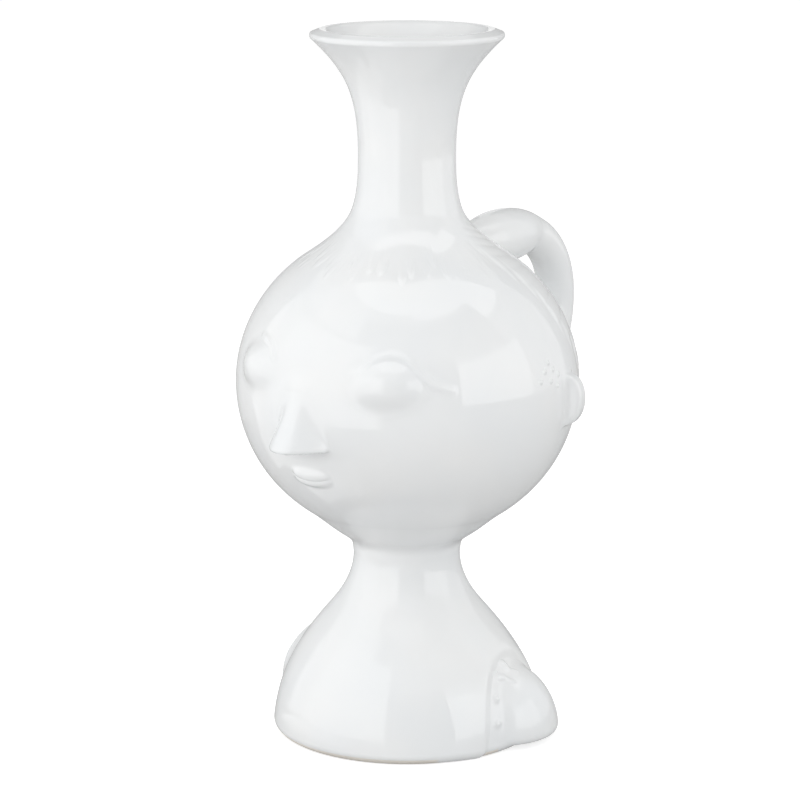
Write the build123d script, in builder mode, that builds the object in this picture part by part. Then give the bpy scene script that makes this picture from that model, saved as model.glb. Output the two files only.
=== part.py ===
from build123d import *
from math import asin, cos, degrees, radians, sin, sqrt
import os

# Face vase of glazed porcelain, in millimetres, +Z up.
# The origin is on the turning axis, at the level that the vase stands on.
# The face looks along -Y, the handle is at +Y, and the face's own left is +X.
# An azimuth is measured round the axis from the middle of the face towards its left,
# and a rise is a height above the middle of the globe.

os.makedirs("parts", exist_ok=True)

# Heights of the three turned sections
foot_height = 77.0
head_height = 149.0
neck_height = 74.4

# Walls: the bell's is measured level, across its slope
wall = 5.0
bell_wall = 6.2
floor_thickness = 5.0

# Film of slip between a piece that is stuck on and the surface that it sits on
slip = 0.05

# Globe, and the collars that join it to the foot and the neck
head_radius = 72.3
collar_rise = 8.0
collar_length = 21.0
collar_lean = 17.0

# Bell foot: radii at levels down from the waist and up from the table
waist_radius = 22.7
stem_radius = 27.0
stem_drop = 15.0
bell_radius = 36.1
bell_drop = 27.0
skirt_radius = 52.5
skirt_rise = 24.0
base_radius = 57.4
base_rounding = 5.8
ring_height = 2.5
ring_width = 6.5

# Neck and its out-turned lip
neck_radius = 22.7
throat_radius = 20.4
throat_rise = 20.0
flare_radius = 25.8
flare_drop = 22.0
lip_radius = 41.7
lip_width = 6.9
lip_drop = 2.8
lip_flare = 48.0
lip_rounding = 1.4

# Handle: a knot of hair below the crown and a round loop from it to the back of the globe
knot_half_length = 28.0
knot_radius = 11.8
knot_drop = 13.5
knot_root = 3.7
loop_thickness = 16.8
finger_gap = 29.9
loop_rise = 21.8
loop_lower_radius = 49.0
loop_lower_sweep = 100.0

# Eyes and lids
eye_azimuth = 29.5
eye_rise = 13.5
eye_half_width = 22.5
eye_half_height = 17.0
eye_proud = 3.4
lid_margin = 1.4
lid_rise = 4.5

# Nose
nose_top_rise = 10.0
nose_top_half_width = 4.5
nose_top_proud = 1.5
nose_bottom_rise = -18.0
nose_bottom_half_width = 13.5
nose_bottom_proud = 15.5
nose_root = 2.0
nose_rounding = 1.2

# Mouth
upper_lip_rise = -26.0
upper_lip_proud = 3.0
lower_lip_rise = -31.0
lower_lip_proud = 2.6
mouth_half_width = 9.5
mouth_lip_height = 4.2

# Ears, and the slip dots in front of them as pairs of azimuth and rise
ear_azimuth = 105.0
ear_rise = -2.0
ear_reach = 7.0
ear_half_height = 10.5
ear_thickness = 7.0
ear_rounding = 2.0
bead_radius = 1.4
bead_spots = [
    (92.0, 16.0),
    (89.5, 12.8),
    (94.4, 13.0),
    (97.4, 10.3),
    (86.8, 9.3),
    (92.4, 8.5),
    (96.1, 6.0),
]

# Hair in low relief
hair_proud = 0.7
fringe_drop = 15.5
crown_drop = 0.5
strand_count = 48
strand_gap = 1.5
strand_length = 7.0
hairline_slope = 54.0
hairline_drop = 8.5

# Sleeve arches on the sides of the bell
sleeve_azimuth = 106.0
sleeve_half_width = 30.6
sleeve_height = 42.5
sleeve_band = 3.6
sleeve_proud = 4.4

# Hands under the arches: rounded lobes that lean towards the front
hand_azimuth = 107.0
hand_radius = 26.0
hand_half_length = 34.0
hand_proud = 10.0
hand_rise = 3.0
hand_lean = 12.0

# Levels and places that follow from the sizes
neck_base = foot_height + head_height
top = neck_base + neck_height
head_centre = foot_height + head_height / 2
head_half_height = head_height / 2 - collar_rise
joint_tangent = Vector(-sin(radians(collar_lean)), cos(radians(collar_lean)))
lip_tangent = Vector(sin(radians(lip_flare)), cos(radians(lip_flare)))
knot_rise = head_half_height - knot_drop
loop_reach = head_radius + finger_gap + loop_thickness / 2
loop_level = head_centre + loop_rise
loop_upper_radius = knot_rise - loop_rise
fringe_level = head_centre + head_half_height - fringe_drop
crown_level = head_centre + head_half_height - crown_drop
hairline_level = head_centre + head_half_height - hairline_drop
clear_of_all = 2 * (loop_reach + top)


def across(azimuth):
    """Level direction round the axis, towards the face's left."""
    return Vector(cos(radians(azimuth)), sin(radians(azimuth)), 0)


def outward(azimuth):
    """Level direction away from the axis."""
    return Vector(sin(radians(azimuth)), -cos(radians(azimuth)), 0)


def globe_radius(rise):
    """Radius of the globe at a height above its middle."""
    return head_radius * sqrt(1 - (rise / head_half_height) ** 2)


def globe_plane(azimuth, rise):
    """Plane that touches the globe, with X round it, Y up it and Z out of it."""
    radius = globe_radius(rise)
    spot = outward(azimuth) * radius + Vector(0, 0, head_centre + rise)
    square = outward(azimuth) * (radius / head_radius**2) + Vector(0, 0, rise / head_half_height**2)
    return Plane(origin=spot, x_dir=across(azimuth), z_dir=square)


def side_plane(azimuth, height, radius=0.0):
    """Upright plane that faces out from the axis, with X round it and Y up."""
    spot = outward(azimuth) * radius + Vector(0, 0, height)
    return Plane(origin=spot, x_dir=across(azimuth), z_dir=outward(azimuth))


def head_section(grow):
    """Face inside the head's outline beside the axis, moved out by an amount or, for the cavity, in."""
    reach = degrees(asin((head_height / 2 - collar_length) / head_half_height))
    with BuildSketch(Plane.XZ) as section:
        with BuildLine():
            globe = EllipticalCenterArc(
                (0, head_centre), head_radius + grow, head_half_height + grow, -reach, arc_size=2 * reach
            )
            lower = Spline((waist_radius + grow, foot_height), globe @ 0, tangents=[(0, 1), globe % 0])
            upper = Spline(globe @ 1, (neck_radius + grow, neck_base), tangents=[globe % 1, joint_tangent])
            Polyline(upper @ 1, (0, neck_base), (0, foot_height), lower @ 0)
        make_face()
    return section.sketch


def turned_head(grow):
    """Solid of the head's section turned round the axis."""
    with BuildPart() as head:
        add(head_section(grow))
        revolve(axis=Axis.Z)
    return head.part


def hair_layer(low, high, turn):
    """Thin layer on the globe between two levels, turned from the +X side by an angle."""
    with BuildPart() as layer:
        with BuildSketch(Plane.XZ):
            add(head_section(slip + hair_proud))
            add(head_section(slip), mode=Mode.SUBTRACT)
            with Locations((0, low)):
                Rectangle(clear_of_all, high - low, align=(Align.CENTER, Align.MIN), mode=Mode.INTERSECT)
        revolve(axis=Axis.Z, revolution_arc=turn)
    return layer.part


def turned_foot(grow):
    """Solid inside the bell's outline, moved out level by an amount."""
    with BuildPart() as foot:
        with BuildSketch(Plane.XZ) as section:
            with BuildLine():
                flank = Spline(
                    (base_radius + grow, 0),
                    (skirt_radius + grow, skirt_rise),
                    (bell_radius + grow, foot_height - bell_drop),
                    (stem_radius + grow, foot_height - stem_drop),
                    (waist_radius + grow, foot_height),
                    tangents=[(0, 1), (0, 1)],
                )
                Polyline(flank @ 1, (0, foot_height), (0, 0), flank @ 0)
            make_face()
            fillet(section.vertices().sort_by(Axis.X)[-1], base_rounding)
        revolve(axis=Axis.Z)
    return foot.part


def spheroid(middle, half_length, radius):
    """Rounded body about the X direction of a plane, from the plane's origin."""
    with BuildPart() as body:
        with BuildSketch(middle):
            Ellipse(half_length, radius)
            split(bisect_by=Plane.XZ, keep=Keep.BOTTOM)
        revolve(axis=Axis(middle.origin, middle.x_dir))
    return body.part


def bulge(place, half_width, half_height, proud):
    """Rounded lens of clay, long across its place and standing proud of it."""
    return spheroid(place.offset(proud - half_height), half_width, half_height)


foot_core = turned_foot(0)
head_seat = turned_head(slip)
foot_seat = turned_foot(slip)

# Head: a hollow globe, open above into the neck and below into the foot
with BuildPart() as head_globe:
    add(turned_head(0))
    add(turned_head(-wall), mode=Mode.SUBTRACT)
head_globe.part.label = "head_globe"
export_step(head_globe.part, "parts/head_globe.step")

# Neck: a waisted tube with a rolled lip, butted on the head's collar
with BuildPart() as flared_neck:
    with BuildSketch(Plane.XZ) as neck_section:
        with BuildLine():
            outside = Spline(
                (neck_radius, neck_base),
                (throat_radius, neck_base + throat_rise),
                (flare_radius, top - flare_drop),
                (lip_radius, top - lip_drop),
                tangents=[joint_tangent, lip_tangent],
            )
            inside = Spline(
                (lip_radius - lip_width, top),
                (flare_radius - wall, top - flare_drop),
                (throat_radius - wall, neck_base + throat_rise),
                (neck_radius - wall, neck_base),
                tangents=[-lip_tangent, -joint_tangent],
            )
            Line(outside @ 1, inside @ 0)
            Line(inside @ 1, outside @ 0)
        make_face()
        fillet(neck_section.vertices().sort_by(Axis.Y)[-2:], lip_rounding)
    revolve(axis=Axis.Z)
flared_neck.part.label = "flared_neck"
export_step(flared_neck.part, "parts/flared_neck.step")

# Foot: a hollow bell with a closed floor, parted from its ring at the ring's height
with BuildPart() as foot_bell:
    add(foot_core)
    split(bisect_by=Plane.XY.offset(ring_height), keep=Keep.TOP)
    with BuildSketch(Plane.XZ):
        with BuildLine():
            lining = Spline(
                (waist_radius - wall, foot_height),
                (stem_radius - bell_wall, foot_height - stem_drop),
                (bell_radius - bell_wall, foot_height - bell_drop),
                (skirt_radius - bell_wall, skirt_rise),
                (base_radius - bell_wall, ring_height + floor_thickness),
                tangents=[(0, -1), (0, -1)],
            )
            Polyline(lining @ 1, (0, ring_height + floor_thickness), (0, foot_height), lining @ 0)
        make_face()
    revolve(axis=Axis.Z, mode=Mode.SUBTRACT)
foot_bell.part.label = "foot_bell"
export_step(foot_bell.part, "parts/foot_bell.step")

# Ring that the bell stands on, round a shallow recess
with BuildPart() as foot_ring:
    add(foot_core)
    split(bisect_by=Plane.XY.offset(ring_height), keep=Keep.BOTTOM)
    Cylinder(base_radius - base_rounding - ring_width, clear_of_all, mode=Mode.SUBTRACT)
foot_ring.part.label = "foot_ring"
export_step(foot_ring.part, "parts/foot_ring.step")

# Handle: the knot of hair lies on the back of the globe below the crown
knot_reach = globe_radius(knot_rise) - knot_root + knot_half_length
knot_place = Plane(origin=(0, knot_reach, head_centre + knot_rise), x_dir=(0, 1, 0), z_dir=(1, 0, 0))
with BuildPart() as hair_knot:
    add(spheroid(knot_place, knot_half_length, knot_radius))
    add(head_seat, mode=Mode.SUBTRACT)
hair_knot.part.label = "hair_knot"
export_step(hair_knot.part, "parts/hair_knot.step")

# Handle: the loop turns out of the knot and comes back to the globe on two arcs
with BuildPart() as handle_loop:
    with BuildLine(Plane.YZ) as loop_path:
        CenterArc((loop_reach - loop_upper_radius, loop_level), loop_upper_radius, 90, -90)
        CenterArc((loop_reach - loop_lower_radius, loop_level), loop_lower_radius, 0, -loop_lower_sweep)
    with BuildSketch(Plane(origin=loop_path.line @ 0, z_dir=loop_path.line % 0)):
        Circle(loop_thickness / 2)
    sweep(path=loop_path.line)
    add(head_seat, mode=Mode.SUBTRACT)
    add(spheroid(knot_place, knot_half_length + slip, knot_radius + slip), mode=Mode.SUBTRACT)
handle_loop.part.label = "handle_loop"
export_step(handle_loop.part, "parts/handle_loop.step")

# Nose: a half cone with a flat underside
with BuildPart() as nose:
    for rise, half_width, proud in (
        (nose_bottom_rise, nose_bottom_half_width, nose_bottom_proud),
        (nose_top_rise, nose_top_half_width, nose_top_proud),
    ):
        with BuildSketch(Plane.XY.offset(head_centre + rise)):
            with Locations((0, nose_root - globe_radius(rise))):
                Ellipse(half_width, proud + nose_root)
    loft()
    fillet(nose.faces().sort_by(Axis.Z)[0].edges(), nose_rounding)
    add(head_seat, mode=Mode.SUBTRACT)
nose.part.label = "nose"
export_step(nose.part, "parts/nose.step")

# Eyes: almond bulges, the right one a mirror of the left
eye_place = globe_plane(eye_azimuth, eye_rise)
with BuildPart() as left_eye:
    add(bulge(eye_place, eye_half_width, eye_half_height, eye_proud))
    add(head_seat, mode=Mode.SUBTRACT)
left_eye.part.label = "left_eye"
export_step(left_eye.part, "parts/left_eye.step")

with BuildPart() as right_eye:
    mirror(left_eye.part, about=Plane.YZ)
right_eye.part.label = "right_eye"
export_step(right_eye.part, "parts/right_eye.step")

# Upper lids: a thicker lens over each eye, kept above the lid's edge
with BuildPart() as left_eyelid:
    add(bulge(eye_place, eye_half_width + lid_margin, eye_half_height + lid_margin, eye_proud + lid_margin))
    lid_edge = Plane(origin=eye_place.origin, x_dir=eye_place.x_dir, z_dir=eye_place.y_dir).offset(lid_rise)
    split(bisect_by=lid_edge, keep=Keep.TOP)
    add(bulge(eye_place, eye_half_width + slip, eye_half_height + slip, eye_proud + slip), mode=Mode.SUBTRACT)
    add(head_seat, mode=Mode.SUBTRACT)
left_eyelid.part.label = "left_eyelid"
export_step(left_eyelid.part, "parts/left_eyelid.step")

with BuildPart() as right_eyelid:
    mirror(left_eyelid.part, about=Plane.YZ)
right_eyelid.part.label = "right_eyelid"
export_step(right_eyelid.part, "parts/right_eyelid.step")

# Lips: the lower one is pressed up against the upper one
upper_place = globe_plane(0, upper_lip_rise)
with BuildPart() as upper_lip:
    add(bulge(upper_place, mouth_half_width, mouth_lip_height, upper_lip_proud))
    add(head_seat, mode=Mode.SUBTRACT)
upper_lip.part.label = "upper_lip"
export_step(upper_lip.part, "parts/upper_lip.step")

with BuildPart() as lower_lip:
    add(bulge(globe_plane(0, lower_lip_rise), mouth_half_width, mouth_lip_height, lower_lip_proud))
    add(
        bulge(upper_place, mouth_half_width + slip, mouth_lip_height + slip, upper_lip_proud + slip),
        mode=Mode.SUBTRACT,
    )
    add(head_seat, mode=Mode.SUBTRACT)
lower_lip.part.label = "lower_lip"
export_step(lower_lip.part, "parts/lower_lip.step")

# Ears: D-shaped flaps that face forward
ear_place = globe_plane(ear_azimuth, ear_rise)
with BuildPart() as left_ear:
    with BuildSketch(Plane(origin=ear_place.origin, x_dir=ear_place.z_dir, z_dir=-ear_place.x_dir)):
        Ellipse(ear_reach, ear_half_height)
    extrude(amount=ear_thickness / 2, both=True)
    fillet(left_ear.edges().filter_by(GeomType.ELLIPSE), ear_rounding)
    add(head_seat, mode=Mode.SUBTRACT)
left_ear.part.label = "left_ear"
export_step(left_ear.part, "parts/left_ear.step")

with BuildPart() as right_ear:
    mirror(left_ear.part, about=Plane.YZ)
right_ear.part.label = "right_ear"
export_step(right_ear.part, "parts/right_ear.step")

# Slip dots on the temples
with BuildPart() as left_temple_beads:
    with Locations(*[globe_plane(azimuth, rise).location for azimuth, rise in bead_spots]):
        Sphere(bead_radius)
    add(head_seat, mode=Mode.SUBTRACT)
left_temple_beads.part.label = "left_temple_beads"
export_step(left_temple_beads.part, "parts/left_temple_beads.step")

with BuildPart() as right_temple_beads:
    mirror(left_temple_beads.part, about=Plane.YZ)
right_temple_beads.part.label = "right_temple_beads"
export_step(right_temple_beads.part, "parts/right_temple_beads.step")

# Fringe: a thin layer round the front of the neck's root, with its edge notched into strands
with BuildPart() as hair_fringe:
    add(hair_layer(fringe_level, crown_level, -180))
    edge_radius = globe_radius(fringe_level - head_centre)
    with BuildSketch(Plane.XY.offset(fringe_level)):
        with PolarLocations(edge_radius, strand_count, start_angle=180 / strand_count):
            Circle(strand_gap)
    extrude(amount=strand_length, both=True, mode=Mode.SUBTRACT)
hair_fringe.part.label = "hair_fringe"
export_step(hair_fringe.part, "parts/hair_fringe.step")

# Back hair: the same layer behind a hairline that slopes down past the ears
with BuildPart() as back_hair:
    add(hair_layer(foot_height + collar_length, crown_level, 180))
    hairline = Plane(
        origin=(0, 0, hairline_level),
        x_dir=(1, 0, 0),
        z_dir=(0, sin(radians(hairline_slope)), cos(radians(hairline_slope))),
    )
    split(bisect_by=hairline, keep=Keep.TOP)
    for piece in (hair_knot, handle_loop, left_ear, right_ear):
        add(piece.part, mode=Mode.SUBTRACT)
back_hair.part.label = "back_hair"
export_step(back_hair.part, "parts/back_hair.step")

# Sleeves: raised arches on the sides of the bell
sleeve_place = side_plane(sleeve_azimuth, 0)
with BuildPart() as left_sleeve:
    with BuildSketch(sleeve_place):
        Ellipse(sleeve_half_width, sleeve_height)
        Ellipse(sleeve_half_width - sleeve_band, sleeve_height - sleeve_band, mode=Mode.SUBTRACT)
    extrude(amount=clear_of_all)
    add(turned_foot(sleeve_proud), mode=Mode.INTERSECT)
    add(foot_seat, mode=Mode.SUBTRACT)
left_sleeve.part.label = "left_sleeve"
export_step(left_sleeve.part, "parts/left_sleeve.step")

with BuildPart() as right_sleeve:
    mirror(left_sleeve.part, about=Plane.YZ)
right_sleeve.part.label = "right_sleeve"
export_step(right_sleeve.part, "parts/right_sleeve.step")

# Hands: rounded lobes under the arches, flat on the table
hand_spot = side_plane(hand_azimuth, hand_rise, base_radius + hand_proud - hand_radius)
hand_axis = hand_spot.y_dir * cos(radians(hand_lean)) - hand_spot.x_dir * sin(radians(hand_lean))
hand_place = Plane(origin=hand_spot.origin, x_dir=hand_axis, z_dir=hand_spot.z_dir)
with BuildPart() as left_hand:
    add(spheroid(hand_place, hand_half_length, hand_radius))
    split(bisect_by=Plane.XY, keep=Keep.TOP)
    add(foot_seat, mode=Mode.SUBTRACT)
left_hand.part.label = "left_hand"
export_step(left_hand.part, "parts/left_hand.step")

with BuildPart() as right_hand:
    mirror(left_hand.part, about=Plane.YZ)
right_hand.part.label = "right_hand"
export_step(right_hand.part, "parts/right_hand.step")
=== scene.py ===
import logging
import math
from dataclasses import dataclass, field
from enum import Enum
from typing import Callable, Sequence

import bpy
import numpy as np
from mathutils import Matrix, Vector


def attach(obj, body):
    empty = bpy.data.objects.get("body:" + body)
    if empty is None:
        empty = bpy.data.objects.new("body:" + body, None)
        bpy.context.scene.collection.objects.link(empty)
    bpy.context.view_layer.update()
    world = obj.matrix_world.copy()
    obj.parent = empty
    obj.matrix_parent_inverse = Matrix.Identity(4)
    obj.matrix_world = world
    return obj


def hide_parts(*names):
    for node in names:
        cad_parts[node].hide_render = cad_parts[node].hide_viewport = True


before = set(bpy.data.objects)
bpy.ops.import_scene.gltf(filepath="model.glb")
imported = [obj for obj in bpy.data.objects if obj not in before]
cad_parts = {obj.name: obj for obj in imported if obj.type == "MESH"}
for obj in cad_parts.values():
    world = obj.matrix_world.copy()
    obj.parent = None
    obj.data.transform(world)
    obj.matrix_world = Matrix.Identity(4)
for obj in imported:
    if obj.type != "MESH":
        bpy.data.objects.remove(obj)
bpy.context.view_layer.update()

# Face vase of glazed porcelain. Lengths are in millimetres until a mesh is made,
# azimuths are in degrees from the middle of the face towards its own left.
# SINK is how deep the edge of a luted piece dips under the section that it lies on, and
# BLEND_PARTS is the part of its width that a fillet stands out by where two shapes meet.
MM = 0.001
SINK = 0.012
BLEND_PARTS = 6.0
TINY = 1e-9
WHITE = "#FFFFFF"
LOG = logging.getLogger("face_vase")

# Short names of types.
Array = np.ndarray
Field = Callable[[Array], Array]
Height = Callable[[Array, Array], Array]
Span = tuple[float, float]
Area = tuple[Span, Span]
Triple = tuple[float, float, float]
Route = tuple[Span, ...]
Waves = tuple[Triple, ...]
Tree = bpy.types.NodeTree
Socket = bpy.types.NodeSocket
Thing = bpy.types.Object


class Side(Enum):
    """Side of the face, as the sign of its azimuths."""

    LEFT = 1
    RIGHT = -1

    @property
    def word(self) -> str:
        """The side's word in the names of pieces."""
        return self.name.lower()

    def area(self, turns: Span, levels: Span, turn: float = 0.0, level: float = 0.0) -> Area:
        """Azimuths and heights of an area on this side, counted from a middle where one is given."""
        azimuths = sorted(self.value * (turn + edge) for edge in turns)
        return tuple(azimuths), tuple(level + edge for edge in levels)

    def pick(self, pair: Sequence):
        """The left or the right one of a pair of values."""
        return pair[0 if self is Side.LEFT else 1]


def linear(colour: str) -> tuple[float, float, float, float]:
    """Turns an sRGB hex colour to a linear one.

    Args:
        colour: Six hex digits after a hash sign.

    Returns:
        Red, green, blue and an alpha of one.
    """
    parts = [int(colour[i:i + 2], 16) / 255 for i in (1, 3, 5)]
    red, green, blue = (c / 12.92 if c <= 0.04045 else ((c + 0.055) / 1.055) ** 2.4 for c in parts)
    return red, green, blue, 1.0


def node(tree: Tree, kind: str, settings: dict | None = None, links: dict | None = None) -> bpy.types.Node:
    """Adds a node with its settings and its incoming links.

    Args:
        tree: Node tree to add to.
        kind: Blender's name for the node's type, without its first word.
        settings: Attributes by name, or input values by the input's name or number.
        links: Output sockets by the name or number of the input that they feed.

    Returns:
        The new node.
    """
    made = tree.nodes.new("ShaderNode" + kind)
    for key, value in (settings or {}).items():
        if isinstance(key, str) and hasattr(made, key):
            setattr(made, key, value)
        else:
            made.inputs[key].default_value = value
    for key, source in (links or {}).items():
        tree.links.new(source, made.inputs[key])
    return made


def noise(tree: Tree, place: Socket, size: float, detail: float, roughness: float = 0.5) -> Socket:
    """Adds soft noise from 0 to 1, with patches of a size in millimetres."""
    settings = {"Scale": 1.0 / MM / size, "Detail": detail, "Roughness": roughness}
    return node(tree, "TexNoise", settings, {"Vector": place}).outputs["Fac"]


def mix(tree: Tree, share: Socket, first: str | Socket, second: str) -> Socket:
    """Mixes two colours.

    Args:
        tree: Node tree to add to.
        share: Share of the second colour.
        first: Hex colour or socket.
        second: Hex colour.

    Returns:
        The mixed colour.
    """
    made = node(tree, "Mix", {"data_type": "RGBA", 7: linear(second)}, {0: share})
    if isinstance(first, str):
        made.inputs[6].default_value = linear(first)
    else:
        tree.links.new(first, made.inputs[6])
    return made.outputs[2]


def bump(tree: Tree, height: Socket, deep: float, over: Socket | None = None) -> Socket:
    """Adds a bump of a depth in millimetres over another one's normal, and gives back its normal."""
    links = {"Height": height} if over is None else {"Height": height, "Normal": over}
    return node(tree, "Bump", {"Strength": 1.0, "Distance": deep * MM}, links).outputs["Normal"]


def clay(tree: Tree, colour: Socket, normal: Socket, roughness: float, ior: float) -> Socket:
    """Adds a fired surface of a colour, a fine relief and a gloss, and gives back its shader."""
    links = {"Base Color": colour, "Normal": normal}
    return node(tree, "BsdfPrincipled", {"Roughness": roughness, "IOR": ior}, links).outputs["BSDF"]


def in_view(tree: Tree) -> Socket:
    """Adds a test for rays that the eye follows.

    Args:
        tree: Node tree to add to.

    Returns:
        One on rays from the camera and through the gloss, zero on light that bounces.
    """
    path = node(tree, "LightPath")
    seen = path.outputs["Is Camera Ray"]
    for other in ("Is Glossy Ray", "Is Transmission Ray"):
        seen = node(tree, "Math", {"operation": "MAXIMUM"}, {0: seen, 1: path.outputs[other]}).outputs[0]
    return seen


def smooth_min(a: Array, b: Array, blend: float) -> Array:
    """Joins two distance fields with a fillet about as wide as the blend."""
    near = np.maximum(blend - np.abs(a - b), 0.0) / blend
    return np.minimum(a, b) - near**3 * blend / BLEND_PARTS


def smooth_max(a: Array, b: Array, blend: float) -> Array:
    """Cuts one distance field by another with a rounded edge."""
    return -smooth_min(-a, -b, blend)


def step(low: float, high: float, value: Array) -> Array:
    """Rises smoothly from 0 at low to 1 at high."""
    share = np.clip((value - low) / (high - low), 0.0, 1.0)
    return share * share * (3.0 - 2.0 * share)


def waves(value: Array, terms: Waves) -> Array:
    """Adds up sine waves, each with its height, its turns per unit and its shift."""
    return sum(high * np.sin(value * often + shift) for high, often, shift in terms)


def unit(vectors: Array) -> Array:
    """Vectors at a length of one."""
    return vectors / np.linalg.norm(vectors, axis=-1)[..., None]


def outward(azimuth: Array) -> Array:
    """Level unit vectors away from the axis at azimuths in degrees."""
    turn = np.radians(azimuth)
    return np.stack([np.sin(turn), -np.cos(turn), np.zeros_like(turn)], axis=-1)


def azimuth_of(points: Array) -> Array:
    """Azimuths of points, in degrees."""
    return np.degrees(np.arctan2(points[..., 0], -points[..., 1]))


def rounded(local: Array, half: Sequence[float]) -> Array:
    """Near distance to an ellipse or ellipsoid.

    Args:
        local: Points in its own directions, from its middle.
        half: Half lengths along these directions.

    Returns:
        Distances, less than zero inside.
    """
    reach = np.linalg.norm(local / np.asarray(half), axis=-1)
    slope = np.linalg.norm(local / np.square(half), axis=-1)
    return reach * (reach - 1.0) / np.maximum(slope, TINY)


def spheroid(centre: Array, axes: Array, half: Sequence[float]) -> Field:
    """Distance field of an ellipsoid with its middle and its own directions, one per row."""
    return lambda points: rounded((points - centre) @ np.asarray(axes).T, half)


def roll(points: Array, route: Array, radii: Array) -> Array:
    """Distance to a rolled coil of clay of changing thickness.

    Args:
        points: Points to measure from.
        route: Points along the coil's middle.
        radii: Radius at each of them.

    Returns:
        Distances, less than zero inside.
    """
    best = np.full(points.shape[:-1], np.inf)
    for start, end, r0, r1 in zip(route[:-1], route[1:], radii[:-1], radii[1:]):
        run = end - start
        share = np.clip(((points - start) @ run) / (run @ run), 0.0, 1.0)
        gap = np.linalg.norm(points - start - share[..., None] * run, axis=-1)
        best = np.minimum(best, gap - (r0 + (r1 - r0) * share))
    return best


def spline(points: Sequence[Span], first: Sequence[float], last: Sequence[float], count: int) -> Array:
    """Smooth curve through points with set directions at its ends.

    Args:
        points: Points to pass through.
        first: Direction at the first point.
        last: Direction at the last point.
        count: Points to give back.

    Returns:
        Points along the curve, one per row.
    """
    knots = np.asarray(points, float)
    chords = np.linalg.norm(np.diff(knots, axis=0), axis=1)
    at = np.concatenate([[0.0], np.cumsum(chords)])
    system = np.eye(len(knots))
    right = np.zeros_like(knots)
    right[0] = unit(np.asarray(first, float))
    right[-1] = unit(np.asarray(last, float))
    for i in range(1, len(knots) - 1):
        before, after = chords[i - 1], chords[i]
        system[i, i - 1:i + 2] = after, 2 * (before + after), before
        rise = (knots[i + 1] - knots[i]) / after * before + (knots[i] - knots[i - 1]) / before * after
        right[i] = 3 * rise
    tangents = np.linalg.solve(system, right)
    where = np.linspace(0.0, at[-1], count)
    run = np.clip(np.searchsorted(at, where, side="right") - 1, 0, len(chords) - 1)
    share = ((where - at[run]) / chords[run])[:, None]
    length = chords[run][:, None]
    return (
        (2 * share**3 - 3 * share**2 + 1) * knots[run]
        + (share**3 - 2 * share**2 + share) * length * tangents[run]
        + (-2 * share**3 + 3 * share**2) * knots[run + 1]
        + (share**3 - share**2) * length * tangents[run + 1]
    )


def cast(
    shape: Field, starts: Array, rays: Array, limits: Triple, steps: int = 56, halvings: int = 22,
) -> Array:
    """Finds where rays last leave a shape.

    Args:
        shape: Distance field, less than zero inside.
        starts: Start of each ray.
        rays: Direction of each ray, whose length is the unit of the result.
        limits: Shortest and longest way to look at, and the result for a ray still inside at its end.
        steps: Steps of the first search.
        halvings: Halvings of the step that was found.

    Returns:
        Way along each ray.
    """
    near, far, missed = limits
    ways = np.linspace(near, far, steps)
    low = np.full(starts.shape[:-1], near)
    high = low.copy()
    for before, after in zip(ways[:-1], ways[1:]):
        now = shape(starts + rays * before) < 0
        low = np.where(now, before, low)
        high = np.where(now, after, high)
    lost = now & (shape(starts + rays * far) < 0)
    for _ in range(halvings):
        middle = (low + high) / 2
        now = shape(starts + rays * middle[..., None]) < 0
        low = np.where(now, middle, low)
        high = np.where(now, high, middle)
    return np.where(lost, missed, (low + high) / 2)


@dataclass(frozen=True)
class Profile:
    """Outline of a turned section, as radii at rising heights, with the hand's slight unevenness.

    Each swell has its height, the times it goes round, the height it climbs per radian and its shift.
    """

    heights: Array
    radii: Array
    wobble: float
    swells: tuple[tuple[float, int, float, float], ...] = (
        (0.5, 2, 27.0, 0.8), (0.34, 3, -19.0, 2.1), (0.22, 5, 13.0, 4.0), (0.14, 7, -9.0, 0.0),
    )
    calm_end: float = 14.0

    def radius(self, height: Array) -> Array:
        """Radius at heights."""
        return np.interp(height, self.heights, self.radii)

    def lean(self, height: Array) -> Array:
        """Change of radius with height."""
        return np.interp(height, self.heights, np.gradient(self.radii, self.heights))

    def uneven(self, azimuth: Array, height: Array) -> Array:
        """Small swells and hollows that the throwing left.

        Args:
            azimuth: Azimuths in degrees.
            height: Heights.

        Returns:
            Distances to add to the radius.
        """
        turn = np.radians(azimuth)
        swell = 0.0
        for high, often, climb, shift in self.swells:
            swell = swell + high * np.sin(often * turn + height / climb + shift)
        bottom, top = height - self.heights[0], self.heights[-1] - height
        return self.wobble * swell * (step(0.0, self.calm_end, bottom) * step(0.0, self.calm_end, top))

    def distance(self, points: Array) -> Array:
        """Near distance of points from the section's surface, less than zero inside."""
        height = points[..., 2]
        reach = np.hypot(points[..., 0], points[..., 1])
        radius = self.radius(height) + self.uneven(azimuth_of(points), height)
        return (reach - radius) / np.sqrt(1.0 + self.lean(height) ** 2)

    def surface(self, azimuth: Array, height: Array) -> tuple[Array, Array]:
        """Places on the surface.

        Args:
            azimuth: Azimuths in degrees.
            height: Heights.

        Returns:
            Points, and unit vectors straight out of the smooth surface.
        """
        spot = outward(azimuth) * (self.radius(height) + self.uneven(azimuth, height))[..., None]
        spot[..., 2] = height
        lean = self.lean(height)
        out = outward(azimuth)
        out[..., 2] = -lean
        return spot, out / np.sqrt(1.0 + lean**2)[..., None]


@dataclass(frozen=True)
class Finish:
    """Base of the finishes, each the recipe of one named material."""

    name: str

    def shader(self, tree: Tree) -> Socket:
        """Builds the surface shader and gives back its output."""
        raise NotImplementedError

    def material(self) -> bpy.types.Material:
        """Gives the finish's material, made on its first use."""
        made = bpy.data.materials.get(self.name)
        if made is None:
            made = bpy.data.materials.new(self.name)
            made.use_nodes = True
            made.node_tree.nodes.clear()
            node(made.node_tree, "OutputMaterial", links={"Surface": self.shader(made.node_tree)})
        return made


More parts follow.
